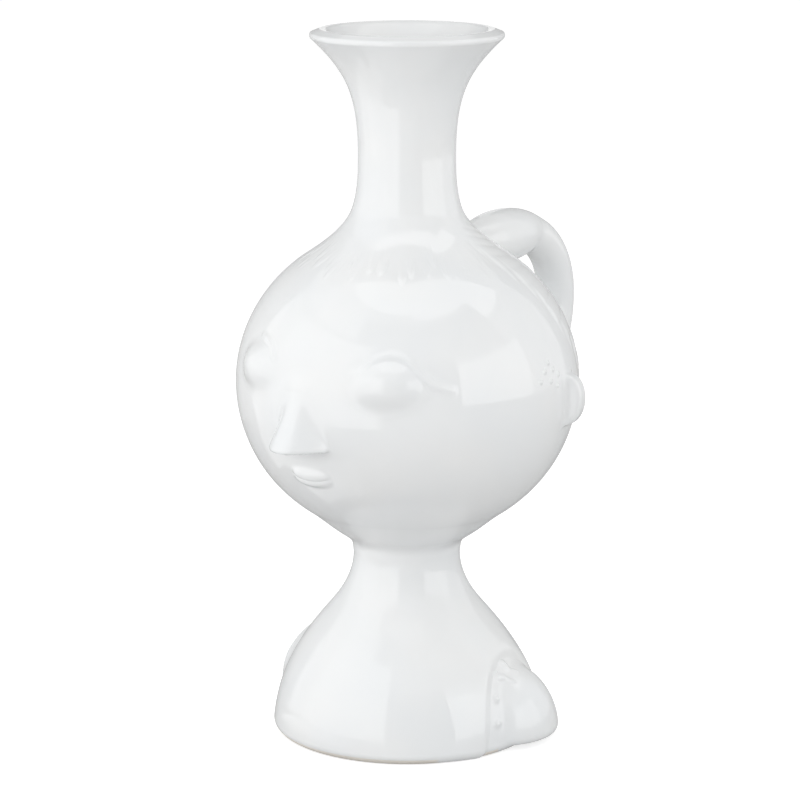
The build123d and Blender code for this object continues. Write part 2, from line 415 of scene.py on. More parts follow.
@dataclass(frozen=True)
class PorcelainGlaze(Finish):
    """Hard-paste porcelain under a clear feldspar glaze, dipped and fired.

    The eye gets a cold white body, a sharp gloss with softly wavering reflections, a grey-blue
    cast where the glaze runs thick, and a rare pinhole speck.
    """

    name: str = "glazed_porcelain"
    roughness: float = 0.03
    ior: float = 1.52
    body: str = "#F3F3F2"
    pooled: str = "#E9ECEE"
    pool_mm: float = 34.0
    speck: str = "#C9C6C0"
    speck_mm: float = 9.0
    speck_edge: Span = (0.03, 0.05)
    speck_strength: float = 0.8
    speck_rarity: float = 0.88
    wave_mm: float = 27.0
    wave_deep_mm: float = 0.09
    ripple_mm: float = 6.0
    ripple_deep_mm: float = 0.006

    def shader(self, tree: Tree) -> Socket:
        """Builds the glaze: its white with a cast and specks, and slow waves with a fine ripple on them.

        Args:
            tree: The material's node tree.

        Returns:
            The shader's output.
        """
        place = node(tree, "TexCoord").outputs["Object"]
        white = mix(tree, noise(tree, place, self.pool_mm, detail=2.0, roughness=0.4), self.body, self.pooled)
        spots = node(tree, "TexVoronoi", {"Scale": 1.0 / MM / self.speck_mm}, {"Vector": place})
        inner, outer = self.speck_edge
        edge = {"From Min": inner, "From Max": outer, "To Min": self.speck_strength, "To Max": 0.0}
        dot = node(tree, "MapRange", edge, {"Value": spots.outputs["Distance"]})
        test = {"operation": "GREATER_THAN", 1: self.speck_rarity}
        chosen = node(tree, "Math", test, {0: spots.outputs["Color"]})
        both = {0: dot.outputs["Result"], 1: chosen.outputs[0]}
        share = node(tree, "Math", {"operation": "MULTIPLY"}, both)
        colour = mix(tree, share.outputs[0], white, self.speck)
        wave = bump(tree, noise(tree, place, self.wave_mm, detail=0.0), self.wave_deep_mm)
        ripple = noise(tree, place, self.ripple_mm, detail=1.0, roughness=0.3)
        ripple = bump(tree, ripple, self.ripple_deep_mm, wave)
        return clay(tree, colour, ripple, self.roughness, self.ior)


@dataclass(frozen=True)
class BiscuitPorcelain(Finish):
    """Bare fired porcelain, wiped clean of glaze and rubbed smooth: matte, warm white and finely sandy."""

    name: str = "biscuit_porcelain"
    roughness: float = 0.62
    ior: float = 1.5
    body: str = "#DDD6CB"
    stained: str = "#C2B7A6"
    stain_mm: float = 12.0
    grain_mm: float = 0.8
    grain_deep_mm: float = 0.05

    def shader(self, tree: Tree) -> Socket:
        """Builds the bare clay with its faint stains and its sandy grain.

        Args:
            tree: The material's node tree.

        Returns:
            The shader's output.
        """
        place = node(tree, "TexCoord").outputs["Object"]
        colour = mix(tree, noise(tree, place, self.stain_mm, detail=4.0), self.body, self.stained)
        grain = bump(tree, noise(tree, place, self.grain_mm, detail=2.0), self.grain_deep_mm)
        return clay(tree, colour, grain, self.roughness, self.ior)


@dataclass(frozen=True)
class StudioPaper(Finish):
    """Matte white background paper, which the camera and the gloss see as white with a soft shadow on it."""

    name: str = "studio_paper"
    colour: str = "#CECECE"
    lift: float = 0.68

    def shader(self, tree: Tree) -> Socket:
        """Builds the paper.

        Args:
            tree: The material's node tree.

        Returns:
            The shader's output.
        """
        lift = node(tree, "Math", {"operation": "MULTIPLY", 1: self.lift}, {0: in_view(tree)})
        paper = node(tree, "BsdfDiffuse", {"Color": linear(self.colour)})
        white = node(tree, "Emission", {"Color": linear(WHITE)}, {"Strength": lift.outputs[0]})
        return node(tree, "AddShader", links={0: paper.outputs[0], 1: white.outputs[0]}).outputs[0]


@dataclass(frozen=True)
class Glow(Finish):
    """Even light of a lit sheet, where a strength of 1 is white."""

    strength: float

    def shader(self, tree: Tree) -> Socket:
        """Builds the light."""
        return node(tree, "Emission", {"Color": linear(WHITE), "Strength": self.strength}).outputs[0]


GLAZE = PorcelainGlaze()
BISCUIT = BiscuitPorcelain()


def add_mesh(name: str, points: Array, faces: Array, sharp: Array | None = None) -> Thing:
    """Makes a smooth mesh object from points in millimetres.

    Args:
        name: Name of the object.
        points: Points, one per row.
        faces: Four point numbers per face.
        sharp: Numbers of points between which edges stay sharp.

    Returns:
        The object, linked to the scene.
    """
    mesh = bpy.data.meshes.new(name)
    mesh.vertices.add(len(points))
    mesh.vertices.foreach_set("co", (points * MM).astype(np.float32).ravel())
    mesh.loops.add(faces.size)
    mesh.loops.foreach_set("vertex_index", faces.astype(np.int32).ravel())
    mesh.polygons.add(len(faces))
    mesh.polygons.foreach_set("loop_start", np.arange(0, faces.size, 4, dtype=np.int32))
    mesh.polygons.foreach_set("use_smooth", np.ones(len(faces), bool))
    mesh.update(calc_edges=True)
    if sharp is not None:
        marked = np.zeros(len(points), bool)
        marked[sharp] = True
        ends = np.empty(2 * len(mesh.edges), np.int32)
        mesh.edges.foreach_get("vertices", ends)
        mesh.edges.foreach_set("use_edge_sharp", marked[ends.reshape(-1, 2)].all(axis=1))
    mesh.validate()
    made = bpy.data.objects.new(name, mesh)
    bpy.context.collection.objects.link(made)
    return made


def grid_faces(shape: tuple[int, int], start: int = 0, closed: bool = False, flip: bool = False) -> Array:
    """Faces of a grid of points.

    Args:
        shape: Rows of points, and points in each row.
        start: Number of the first point.
        closed: Whether the last column joins the first.
        flip: Whether the faces look the other way.

    Returns:
        Four point numbers per face.
    """
    number = start + np.arange(shape[0] * shape[1]).reshape(shape)
    ahead = np.roll(number, -1, axis=1)
    if not closed:
        number, ahead = number[:, :-1], ahead[:, :-1]
    faces = np.stack([number[:-1], ahead[:-1], ahead[1:], number[1:]], axis=-1).reshape(-1, 4)
    return faces[:, ::-1] if flip else faces


def add_patch(name: str, front: Array, back: Array) -> Thing:
    """Makes a closed sheet of clay from a front and a back grid.

    Args:
        name: Name of the object.
        front: Front points by row and column, with columns towards the face's left and rows up.
        back: Back points in the same order.

    Returns:
        The object.
    """
    shape = front.shape[:2]
    count = shape[0] * shape[1]
    number = np.arange(count).reshape(shape)
    rim = np.concatenate([number[0, :-1], number[:-1, -1], number[-1, :0:-1], number[:0:-1, 0]])
    ahead = np.roll(rim, -1)
    wall = np.stack([rim, rim + count, ahead + count, ahead], axis=-1)
    faces = np.concatenate([grid_faces(shape), grid_faces(shape, count, flip=True), wall])
    points = np.concatenate([front.reshape(-1, 3), back.reshape(-1, 3)])
    return add_mesh(name, points, faces, np.concatenate([rim, rim + count]))


def add_tube(name: str, rings: Array, shrink: float = 1e-3) -> Thing:
    """Makes a closed body from rings of points, with each end drawn to its middle.

    Args:
        name: Name of the object.
        rings: Points by ring and place in the ring.
        shrink: Size of the small ring that closes an end, as a share of the end.

    Returns:
        The object.
    """
    count, around = rings.shape[:2]
    faces = [grid_faces((count, around), closed=True)]
    points = [rings.reshape(-1, 3)]
    for index, first, flip in ((0, count * around, True), (count - 1, (count + 1) * around, False)):
        middle = rings[index].mean(axis=0)
        points.append(middle + (rings[index] - middle) * shrink)
        edge = index * around + np.arange(around)
        inner = first + np.arange(around)
        lid = np.stack([edge, np.roll(edge, -1), np.roll(inner, -1), inner], axis=-1)
        near = np.arange(around // 2 - 1)
        far = around - 1 - near
        fill = np.stack([inner[near], inner[near + 1], inner[far - 1], inner[far]], axis=-1)
        faces += [side[:, ::-1] if flip else side for side in (lid, fill)]
    return add_mesh(name, np.concatenate(points), np.concatenate(faces))


def dress(piece: Thing, replaced: str, finish: Finish = GLAZE) -> None:
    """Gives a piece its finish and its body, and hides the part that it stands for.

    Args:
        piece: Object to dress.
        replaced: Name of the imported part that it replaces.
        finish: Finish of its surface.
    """
    piece.data.materials.append(finish.material())
    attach(piece, "root")
    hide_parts(replaced)
    LOG.info("%s: %d faces, stands for %s", piece.name, len(piece.data.polygons), replaced)


@dataclass
class TurnedBody:
    """The thrown sections: flared neck, globe head, bell foot and the bare ring that it stands on."""

    foot_height: float = 77.0
    head_height: float = 149.0
    neck_height: float = 74.4
    wall: float = 5.0
    bell_wall: float = 6.2
    floor: float = 5.0
    head_radius: float = 72.3
    collar_rise: float = 8.0
    collar_length: float = 21.0
    collar_lean: float = 17.0
    crease: Route = ((0.0, 0.0), (0.2, 2.5), (0.7, 5.2), (2.5, 7.6), (5.9, 10.1))
    waist: float = 22.7
    bell: Route = ((57.4, 0.0), (52.5, 24.0), (36.1, 50.0), (27.0, 62.0), (22.7, 77.0))
    base_rounding: float = 4.2
    ring_height: float = 2.5
    ring_width: float = 6.5
    throat: Span = (20.4, 20.0)
    flare: Span = (25.8, 22.0)
    lip_radius: float = 41.7
    lip_width: float = 6.9
    lip_drop: float = 2.8
    lip_flare: float = 48.0
    lip_rounding: float = 1.4
    lip_trim: float = 1.6
    lip_inset: float = 1.5
    wobble: float = 0.22
    wobble_from: float = 12.0
    axis_gap: float = 1e-3
    segments: int = 400
    globe_rows: int = 420
    collar_rows: tuple[int, int] = (120, 90)
    neck_rows: int = 260
    lip_rows: tuple[int, int] = (14, 16)
    bell_rows: tuple[int, int] = (900, 220)
    lining_rows: int = 160
    floor_rows: int = 24
    corner_rows: int = 60
    head: Profile = field(init=False)
    foot: Profile = field(init=False)

    def __post_init__(self) -> None:
        """Works out the outlines that the other pieces sit on."""
        self.middle = self.foot_height + self.head_height / 2
        self.half_height = self.head_height / 2 - self.collar_rise
        self.neck_base = self.foot_height + self.head_height
        self.top = self.neck_base + self.neck_height
        lean = math.radians(self.collar_lean)
        self.joint = np.array([-math.sin(lean), math.cos(lean)])
        outline = self.head_outline(0.0)
        self.head = Profile(outline[:, 1], outline[:, 0], self.wobble)
        curve = self.foot_curve()
        self.foot = Profile(curve[:, 1], curve[:, 0], self.wobble)

    def head_outline(self, grow: float) -> Array:
        """Outline of the globe and its collars, moved out by an amount.

        Args:
            grow: Distance to move out, or in where it is less than zero.

        Returns:
            Radius and height in each row, going up.
        """
        reach = math.asin((self.head_height / 2 - self.collar_length) / self.half_height)
        wide, tall = self.head_radius + grow, self.half_height + grow
        turn = np.linspace(-reach, reach, self.globe_rows)
        globe = np.stack([wide * np.cos(turn), self.middle + tall * np.sin(turn)], axis=1)
        low_way = (wide * math.sin(reach), tall * math.cos(reach))
        high_way = (-low_way[0], low_way[1])
        neck = [(self.waist + side + grow, self.foot_height + rise) for side, rise in self.crease]
        crown = (self.waist + grow, self.neck_base)
        lower = spline([*neck, globe[0]], (0, 1), low_way, self.collar_rows[0])
        upper = spline([globe[-1], crown], high_way, self.joint, self.collar_rows[1])
        return np.concatenate([lower[:-1], globe, upper[1:]])

    def foot_curve(self) -> Array:
        """Outline of the bell with its foot rounded under.

        Returns:
            Radius and height in each row, going up.
        """
        flank = spline(self.bell, (0, 1), (0, 1), self.bell_rows[0])
        bend = self.base_rounding
        turn = np.linspace(-math.pi / 2, 0.0, self.corner_rows)
        wide = np.interp(bend, flank[:, 1], flank[:, 0]) - bend
        corner = np.stack([wide + bend * np.cos(turn), bend + bend * np.sin(turn)], axis=1)
        heights = np.linspace(bend, self.foot_height, self.bell_rows[1])[1:]
        rising = np.stack([np.interp(heights, flank[:, 1], flank[:, 0]), heights], axis=1)
        return np.concatenate([corner, rising])

    def turn(self, name: str, outline: Array, corners: list[int], profile: Profile | None = None) -> Thing:
        """Turns a closed outline round the axis.

        Args:
            name: Name of the object.
            outline: Radius and height in each row, going up outside and down inside.
            corners: Rows where the surface has a sharp edge.
            profile: Outline whose unevenness the section takes.

        Returns:
            The object.
        """
        azimuth = np.arange(self.segments) * (360.0 / self.segments)
        radius, height = (np.repeat(column[:, None], self.segments, axis=1) for column in outline.T)
        if profile is not None:
            radius = radius + profile.uneven(azimuth[None, :], height) * step(0.0, self.wobble_from, radius)
        rings = outward(np.broadcast_to(azimuth, radius.shape)) * np.maximum(radius, self.axis_gap)[..., None]
        rings[..., 2] = height
        number = np.arange(radius.size).reshape(radius.shape)
        above = np.roll(number, -1, axis=0)
        faces = np.stack([number, np.roll(number, -1, axis=1), np.roll(above, -1, axis=1), above], axis=-1)
        return add_mesh(name, rings.reshape(-1, 3), faces.reshape(-1, 4), number[corners].ravel())

    def neck_outline(self) -> Array:
        """Outline of the neck with its rolled lip.

        Returns:
            Radius and height in each row, with a sharp edge at the first and the last.
        """
        flare = math.radians(self.lip_flare)
        way = np.array([math.sin(flare), math.cos(flare)])
        inward = np.array([self.wall, 0.0])
        base = np.array([self.waist, self.neck_base])
        throat = np.array([self.throat[0], self.neck_base + self.throat[1]])
        flared = np.array([self.flare[0], self.top - self.flare[1]])
        lip = np.array([self.lip_radius, self.top - self.lip_drop])
        crest = np.array([self.lip_radius - self.lip_width, self.top])
        outer = spline([base, throat, flared, lip], self.joint, way, self.neck_rows)
        inner = [crest, flared - inward, throat - inward, base - inward]
        inner = spline(inner, -way, -self.joint, self.neck_rows)
        trim = self.lip_trim * self.lip_rounding
        outer = outer[np.linalg.norm(outer - lip, axis=1) > trim]
        inner = inner[np.linalg.norm(inner - crest, axis=1) > trim]
        across = unit(crest - lip)
        inset = across * self.lip_inset * self.lip_rounding
        start, end = lip + inset, crest - inset
        bend, level = self.lip_rows
        first = spline([outer[-1], start], outer[-1] - outer[-2], across, bend)[1:-1]
        last = spline([end, inner[0]], across, inner[1] - inner[0], bend)[1:-1]
        return np.concatenate([outer, first, np.linspace(start, end, level), last, inner])

    def foot_outline(self) -> tuple[Array, list[int]]:
        """Outline of the bell with its floor, above the ring.

        Returns:
            Radius and height in each row, and the rows of its sharp edges.
        """
        curve = self.foot_curve()
        outer = curve[curve[:, 1] >= self.ring_height]
        level = self.ring_height + self.floor
        inside = [(radius - self.bell_wall, height) for radius, height in self.bell[-2:0:-1]]
        ends = (self.waist - self.wall, self.foot_height), (self.bell[0][0] - self.bell_wall, level)
        lining = spline([ends[0], *inside, ends[1]], (0, -1), (0, -1), self.lining_rows)
        floor = np.linspace(lining[-1], (0.0, lining[-1][1]), self.floor_rows)[1:]
        under = np.linspace((0.0, self.ring_height), (outer[0][0], self.ring_height), self.floor_rows)[:-1]
        mark = len(outer)
        return np.concatenate([outer, lining, floor, under]), [0, mark - 1, mark, mark + len(lining) - 1]

    def build(self) -> None:
        """Builds and dresses the four turned sections."""
        outer = self.head_outline(0.0)
        inner = self.head_outline(-self.wall)[::-2]
        corners = [0, len(outer) - 1, len(outer), -1]
        dress(self.turn("globe_head", np.concatenate([outer, inner]), corners, self.head), "head_globe")
        dress(self.turn("flared_throat", self.neck_outline(), [0, -1]), "flared_neck")
        dress(self.turn("bell_base", *self.foot_outline(), self.foot), "foot_bell")
        curve = self.foot_curve()
        low = curve[curve[:, 1] <= self.ring_height]
        inside = curve[0][0] - self.ring_width
        top = self.ring_height
        ring = np.concatenate([low, [[low[-1][0], top], [inside, top], [inside, 0.0]]])
        dress(self.turn("bare_ring", ring, [0, -3, -2, -1]), "foot_ring", BISCUIT)


@dataclass(frozen=True)
class Patch:
    """Stretch of a turned section that a luted piece covers.

    It has the piece's name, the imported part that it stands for, the section, its first and last
    azimuth, and its lowest and highest place.
    """

    name: str
    replaced: str
    profile: Profile
    azimuths: Span
    heights: Span


@dataclass
class Relief:
    """Pieces luted on a turned section and smoothed into it with slip."""

    body: TurnedBody
    pitch: float = 0.5
    depth: float = 1.6
    under: float = 0.6
    fewest: int = 8
    pushes: int = 4

    def grid(self, patch: Patch) -> tuple[Array, Array]:
        """Even grid of places on a patch.

        Args:
            patch: Stretch to cover.

        Returns:
            Azimuths and heights by row and column.
        """
        middle = patch.profile.radius(np.array(sum(patch.heights) / 2))
        across = math.radians(patch.azimuths[1] - patch.azimuths[0]) * float(middle)
        rise = patch.heights[1] - patch.heights[0]
        columns, rows = (max(self.fewest, int(length / self.pitch)) for length in (across, rise))
        return tuple(np.meshgrid(np.linspace(*patch.azimuths, columns), np.linspace(*patch.heights, rows)))

    def close(self, patch: Patch, front: Array, back: Array) -> None:
        """Closes a patch to a piece that stays off the table, and dresses it."""
        front[..., 2] = np.maximum(front[..., 2], SINK)
        dress(add_patch(patch.name, front, back), patch.replaced)

    def raise_height(self, patch: Patch, relief: Height) -> None:
        """Makes a piece from its height above a section.

        Args:
            patch: Stretch that the piece covers.
            relief: Height above the section at azimuths and heights.
        """
        azimuth, height = self.grid(patch)
        spot, out = patch.profile.surface(azimuth, height)
        self.close(patch, spot + out * (relief(azimuth, height) - SINK)[..., None], spot - out * self.depth)

    def raise_field(
        self, patch: Patch, shape: Field, blend: float | Field, focus: Array, proud: float,
    ) -> None:
        """Makes a piece from a distance field joined to a section, seen from a focus under the surface.

        Args:
            patch: Stretch that the piece covers.
            shape: Distance field of the piece.
            blend: Width of the fillet to the section, everywhere or at points.
            focus: Point that the rays fan out from.
            proud: Furthest that the piece stands out.
        """
        spot, out = patch.profile.surface(*self.grid(patch))
        rays = unit(spot - focus)

        def joined(points: Array) -> Array:
            """Distance to the section and the piece together."""
            width = blend(points) if callable(blend) else blend
            return smooth_min(patch.profile.distance(points) + SINK, shape(points), width)

        way = cast(joined, spot, rays, (-self.under, proud, proud))
        self.close(patch, spot + rays * way[..., None], spot - out * self.depth)

    def place(self, profile: Profile, azimuth: float, height: float) -> tuple[Array, Array]:
        """Spot on a section and its directions across, up and out.

        Args:
            profile: Section to lie on.
            azimuth: Azimuth of the spot.
            height: Height of the spot.

        Returns:
            The spot, and three unit rows.
        """
        spot, out = profile.surface(np.array(azimuth), np.array(height))
        turn = math.radians(azimuth)
        across = np.array([math.cos(turn), math.sin(turn), 0.0])
        return spot, np.stack([across, np.cross(out, across), out])

    def lay(self, profile: Profile, turns: Array, heights: Array, shape: Field) -> tuple[Array, Array]:
        """Places on a section or on a shape over it, whichever stands out further.

        Args:
            profile: Section to lie on.
            turns: Azimuths of the places.
            heights: Heights of the places.
            shape: Distance field of the shape.

        Returns:
            Points, and unit vectors straight out of the section.
        """
        spot, out = profile.surface(turns, heights)
        for _ in range(self.pushes):
            spot = spot - out * np.minimum(shape(spot), 0.0)[:, None]
        return spot, out


@dataclass
class Face(Relief):
    """Nose, eyes with their lids, and lips."""

    nose_top: float = 157.0
    nose_bottom: float = 135.2
    nose_top_half_width: float = 7.5
    nose_bottom_half_width: float = 13.4
    nose_top_proud: float = 0.6
    nose_bottom_proud: float = 13.6
    nose_flank: float = 0.87
    nose_flank_turn: float = 53.0
    nose_run: float = 0.3
    nose_rounding: float = 2.6
    nose_blend: Span = (1.2, 7.0)
    nose_area: Area = ((-19.0, 19.0), (122.0, 172.0))
    nose_depth: float = 22.0
    nose_focus_height: float = 149.0
    nose_far: float = 24.0
    eye_places: Route = ((30.4, 164.4), (22.6, 166.0))
    eye_half: Triple = (17.6, 12.8, 15.0)
    eye_proud: float = 4.2
    eye_blend: float = 4.0
    eye_area: Area = ((-18.5, 18.5), (-19.0, 18.0))
    eye_depth: float = 40.0
    eye_far: float = 6.0
    lid_route: Route = (
        (-11.0, 0.6), (-9.0, 4.0), (-4.0, 9.2), (2.0, 11.2),
        (7.5, 8.4), (11.5, 3.6), (16.0, -0.4), (21.1, -2.4),
    )
    lid_start: Span = (3.0, 6.0)
    lid_points: int = 34
    lid_radii: Span = (1.35, 0.8)
    lid_bends: tuple[int, int] = (8, 4)
    lid_taper: float = 5.0
    lid_end: float = 1.05
    lid_thins: float = 0.45
    lid_sinks: Span = (0.2, 0.6)
    lid_blend: float = 0.9
    lid_area: Area = ((-19.0, 26.0), (-19.5, 19.0))
    lid_far: float = 7.0
    lip_half_width: float = 9.2
    lip_half_height: float = 3.6
    lip_blend: float = 2.4
    upper_lip: Span = (123.4, 2.4)
    lower_lip: Span = (121.0, 2.3)
    upper_lip_area: Area = ((-12.0, 12.0), (115.0, 136.0))
    lower_lip_area: Area = ((-12.0, 12.0), (110.0, 131.0))
    lip_focus: Triple = (0.0, -40.0, 123.0)
    lip_far: float = 5.0

    def nose_field(self) -> Field:
        """Works out the nose, a rounded cone with a flattened left flank and a flat underside.

        Returns:
            Its distance field.
        """
        radius = self.body.head.radius
        levels = (self.nose_bottom, self.nose_top)
        widths = (self.nose_bottom_half_width, self.nose_top_half_width)
        low = float(radius(np.array(levels[0]))) + self.nose_bottom_proud - widths[0]
        top = float(radius(np.array(levels[1]))) + self.nose_top_proud - widths[1]
        ends = np.array([[0.0, -top, levels[1], widths[1]], [0.0, -low, levels[0], widths[0]]])
        ends[1] = ends[1] + (ends[1] - ends[0]) * self.nose_run
        turn = math.radians(self.nose_flank_turn)

        def cone(points: Array) -> Array:
            """Distance to the cone, cut along its flank and level at its underside."""
            height = points[..., 2]
            middle = np.interp(height, levels, (low, top))
            reach = self.nose_flank * np.interp(height, levels, widths)
            flank = points[..., 0] * math.sin(turn) - (points[..., 1] + middle) * math.cos(turn) - reach
            body = smooth_max(roll(points, ends[:, :3], ends[:, 3]), flank, self.nose_rounding)
            return smooth_max(body, self.nose_bottom - height, self.nose_rounding)

        return cone

    def nose_fillet(self, points: Array) -> Array:
        """Width of the fillet round the nose, which fades out at its root and is tight at its wings."""
        return np.interp(points[..., 2], (self.nose_bottom, self.nose_top), self.nose_blend)

    def eye_place(self, side: Side) -> Span:
        """Azimuth and height of one eye: the potter set the right one higher and nearer the nose."""
        turn, height = side.pick(self.eye_places)
        return side.value * turn, height

    def eye_field(self, side: Side) -> Field:
        """Distance field of one eye's bulge."""
        spot, axes = self.place(self.body.head, *self.eye_place(side))
        return spheroid(spot + axes[2] * (self.eye_proud - self.eye_half[2]), axes, self.eye_half)

    def lid_field(self, side: Side) -> Field:
        """Works out one upper lid, a thin roll over the eye; the left one runs out into a tail.

        Args:
            side: Side of the face.

        Returns:
            Its distance field.
        """
        bends = self.lid_route[:side.pick(self.lid_bends)]
        route = spline(bends, self.lid_start, np.subtract(bends[-1], bends[-2]), self.lid_points)
        turn, height = self.eye_place(side)
        turns, heights = turn + side.value * route[:, 0], height + route[:, 1]
        spot, out = self.lay(self.body.head, turns, heights, self.eye_field(side))
        share = np.linspace(0.0, 1.0, self.lid_points)
        ends = np.minimum(np.minimum(share, self.lid_end - share) * self.lid_taper, 1.0)
        radii = side.pick(self.lid_radii) * ends * (1.0 - self.lid_thins * share)
        spot = spot - out * (radii * self.lid_sinks[0] + (1.0 - ends) * self.lid_sinks[1])[:, None]
        return lambda points: roll(points, spot, radii)

    def lip_field(self, height: float, proud: float) -> Field:
        """Distance field of one lip."""
        spot, axes = self.place(self.body.head, 0.0, height)
        half = (self.lip_half_width, self.lip_half_height, self.lip_half_height)
        return spheroid(spot + axes[2] * (proud - self.lip_half_height), axes, half)

    def build_eye(self, side: Side) -> None:
        """Builds and dresses one eye and its lid.

        Args:
            side: Side of the face.
        """
        head, word = self.body.head, side.word
        turn, height = self.eye_place(side)
        spot, axes = self.place(head, turn, height)
        focus = spot - axes[2] * self.eye_depth
        bulge, rim = self.eye_field(side), self.lid_field(side)

        def lidded(points: Array) -> Array:
            """Distance to the lid and the eye under it."""
            return smooth_min(bulge(points) + SINK, rim(points), self.lid_blend)

        middle = (abs(turn), height)
        eye = Patch(f"{word}_eye_bulge", f"{word}_eye", head, *side.area(*self.eye_area, *middle))
        self.raise_field(eye, bulge, self.eye_blend, focus, self.eye_far)
        lid = Patch(f"{word}_eye_lid", f"{word}_eyelid", head, *side.area(*self.lid_area, *middle))
        self.raise_field(lid, lidded, self.eye_blend, focus, self.lid_far)

    def build(self) -> None:
        """Builds and dresses the face."""
        head = self.body.head
        focus = np.array([0.0, self.nose_depth - self.body.head_radius, self.nose_focus_height])
        nose = Patch("pinched_nose", "nose", head, *self.nose_area)
        self.raise_field(nose, self.nose_field(), self.nose_fillet, focus, self.nose_far)
        for side in Side:
            self.build_eye(side)
        upper = ("upper_lip", self.upper_lip, self.upper_lip_area)
        lower = ("lower_lip", self.lower_lip, self.lower_lip_area)
        focus = np.array(self.lip_focus)
        for name, place, area in (upper, lower):
            lip = Patch(f"{name}_roll", name, head, *area)
            self.raise_field(lip, self.lip_field(*place), self.lip_blend, focus, self.lip_far)


@dataclass
class Ears(Relief):
    """D-shaped ears, and the slip dots on the temples in front of them."""

    pitch: float = 0.35
    azimuth: float = 105.0
    height: float = 149.5
    reach: float = 6.5
    half_height: float = 10.5
    thickness: float = 7.0
    rounding: float = 2.4
    ear_blend: float = 3.6
    ear_area: Area = ((88.0, 122.0), (129.0, 170.0))
    ear_depth: float = 12.0
    ear_far: float = 14.0
    beads: Route = (
        (92.0, 167.5), (89.5, 164.3), (94.4, 164.5), (97.4, 161.8),
        (86.8, 160.8), (92.4, 160.0), (96.1, 157.5),
    )
    bead_radius: float = 1.05
    bead_sink: float = 0.4
    bead_blend: float = 1.0
    bead_area: Area = ((83.0, 101.0), (153.0, 172.0))
    bead_depth: float = 50.0
    bead_far: float = 3.0

    def build_side(self, side: Side) -> None:
        """Builds and dresses one ear and its group of dots.

        Args:
            side: Side of the face.
        """
        head, word = self.body.head, side.word
        spot, axes = self.place(head, side.value * self.azimuth, self.height)
        turns, heights = np.array(self.beads).T
        seats, out = head.surface(side.value * turns, heights)
        dots = seats - out * self.bead_sink

        def flap(points: Array) -> Array:
            """Distance to a flat disc that stands on its edge."""
            local = (points - spot) @ axes.T
            edge = rounded(local[..., 1:], (self.half_height, self.reach))
            return smooth_max(edge, np.abs(local[..., 0]) - self.thickness / 2, self.rounding)

        def dotted(points: Array) -> Array:
            """Distance to the nearest dot."""
            return np.min([np.linalg.norm(points - dot, axis=-1) for dot in dots], axis=0) - self.bead_radius

        ear = Patch(f"{word}_ear_flap", f"{word}_ear", head, *side.area(*self.ear_area))
        self.raise_field(ear, flap, self.ear_blend, spot - axes[2] * self.ear_depth, self.ear_far)
        beads = Patch(f"{word}_slip_dots", f"{word}_temple_beads", head, *side.area(*self.bead_area))
        self.raise_field(beads, dotted, self.bead_blend, spot - axes[2] * self.bead_depth, self.bead_far)

    def build(self) -> None:
        """Builds and dresses both sides."""
        for side in Side:
            self.build_side(side)


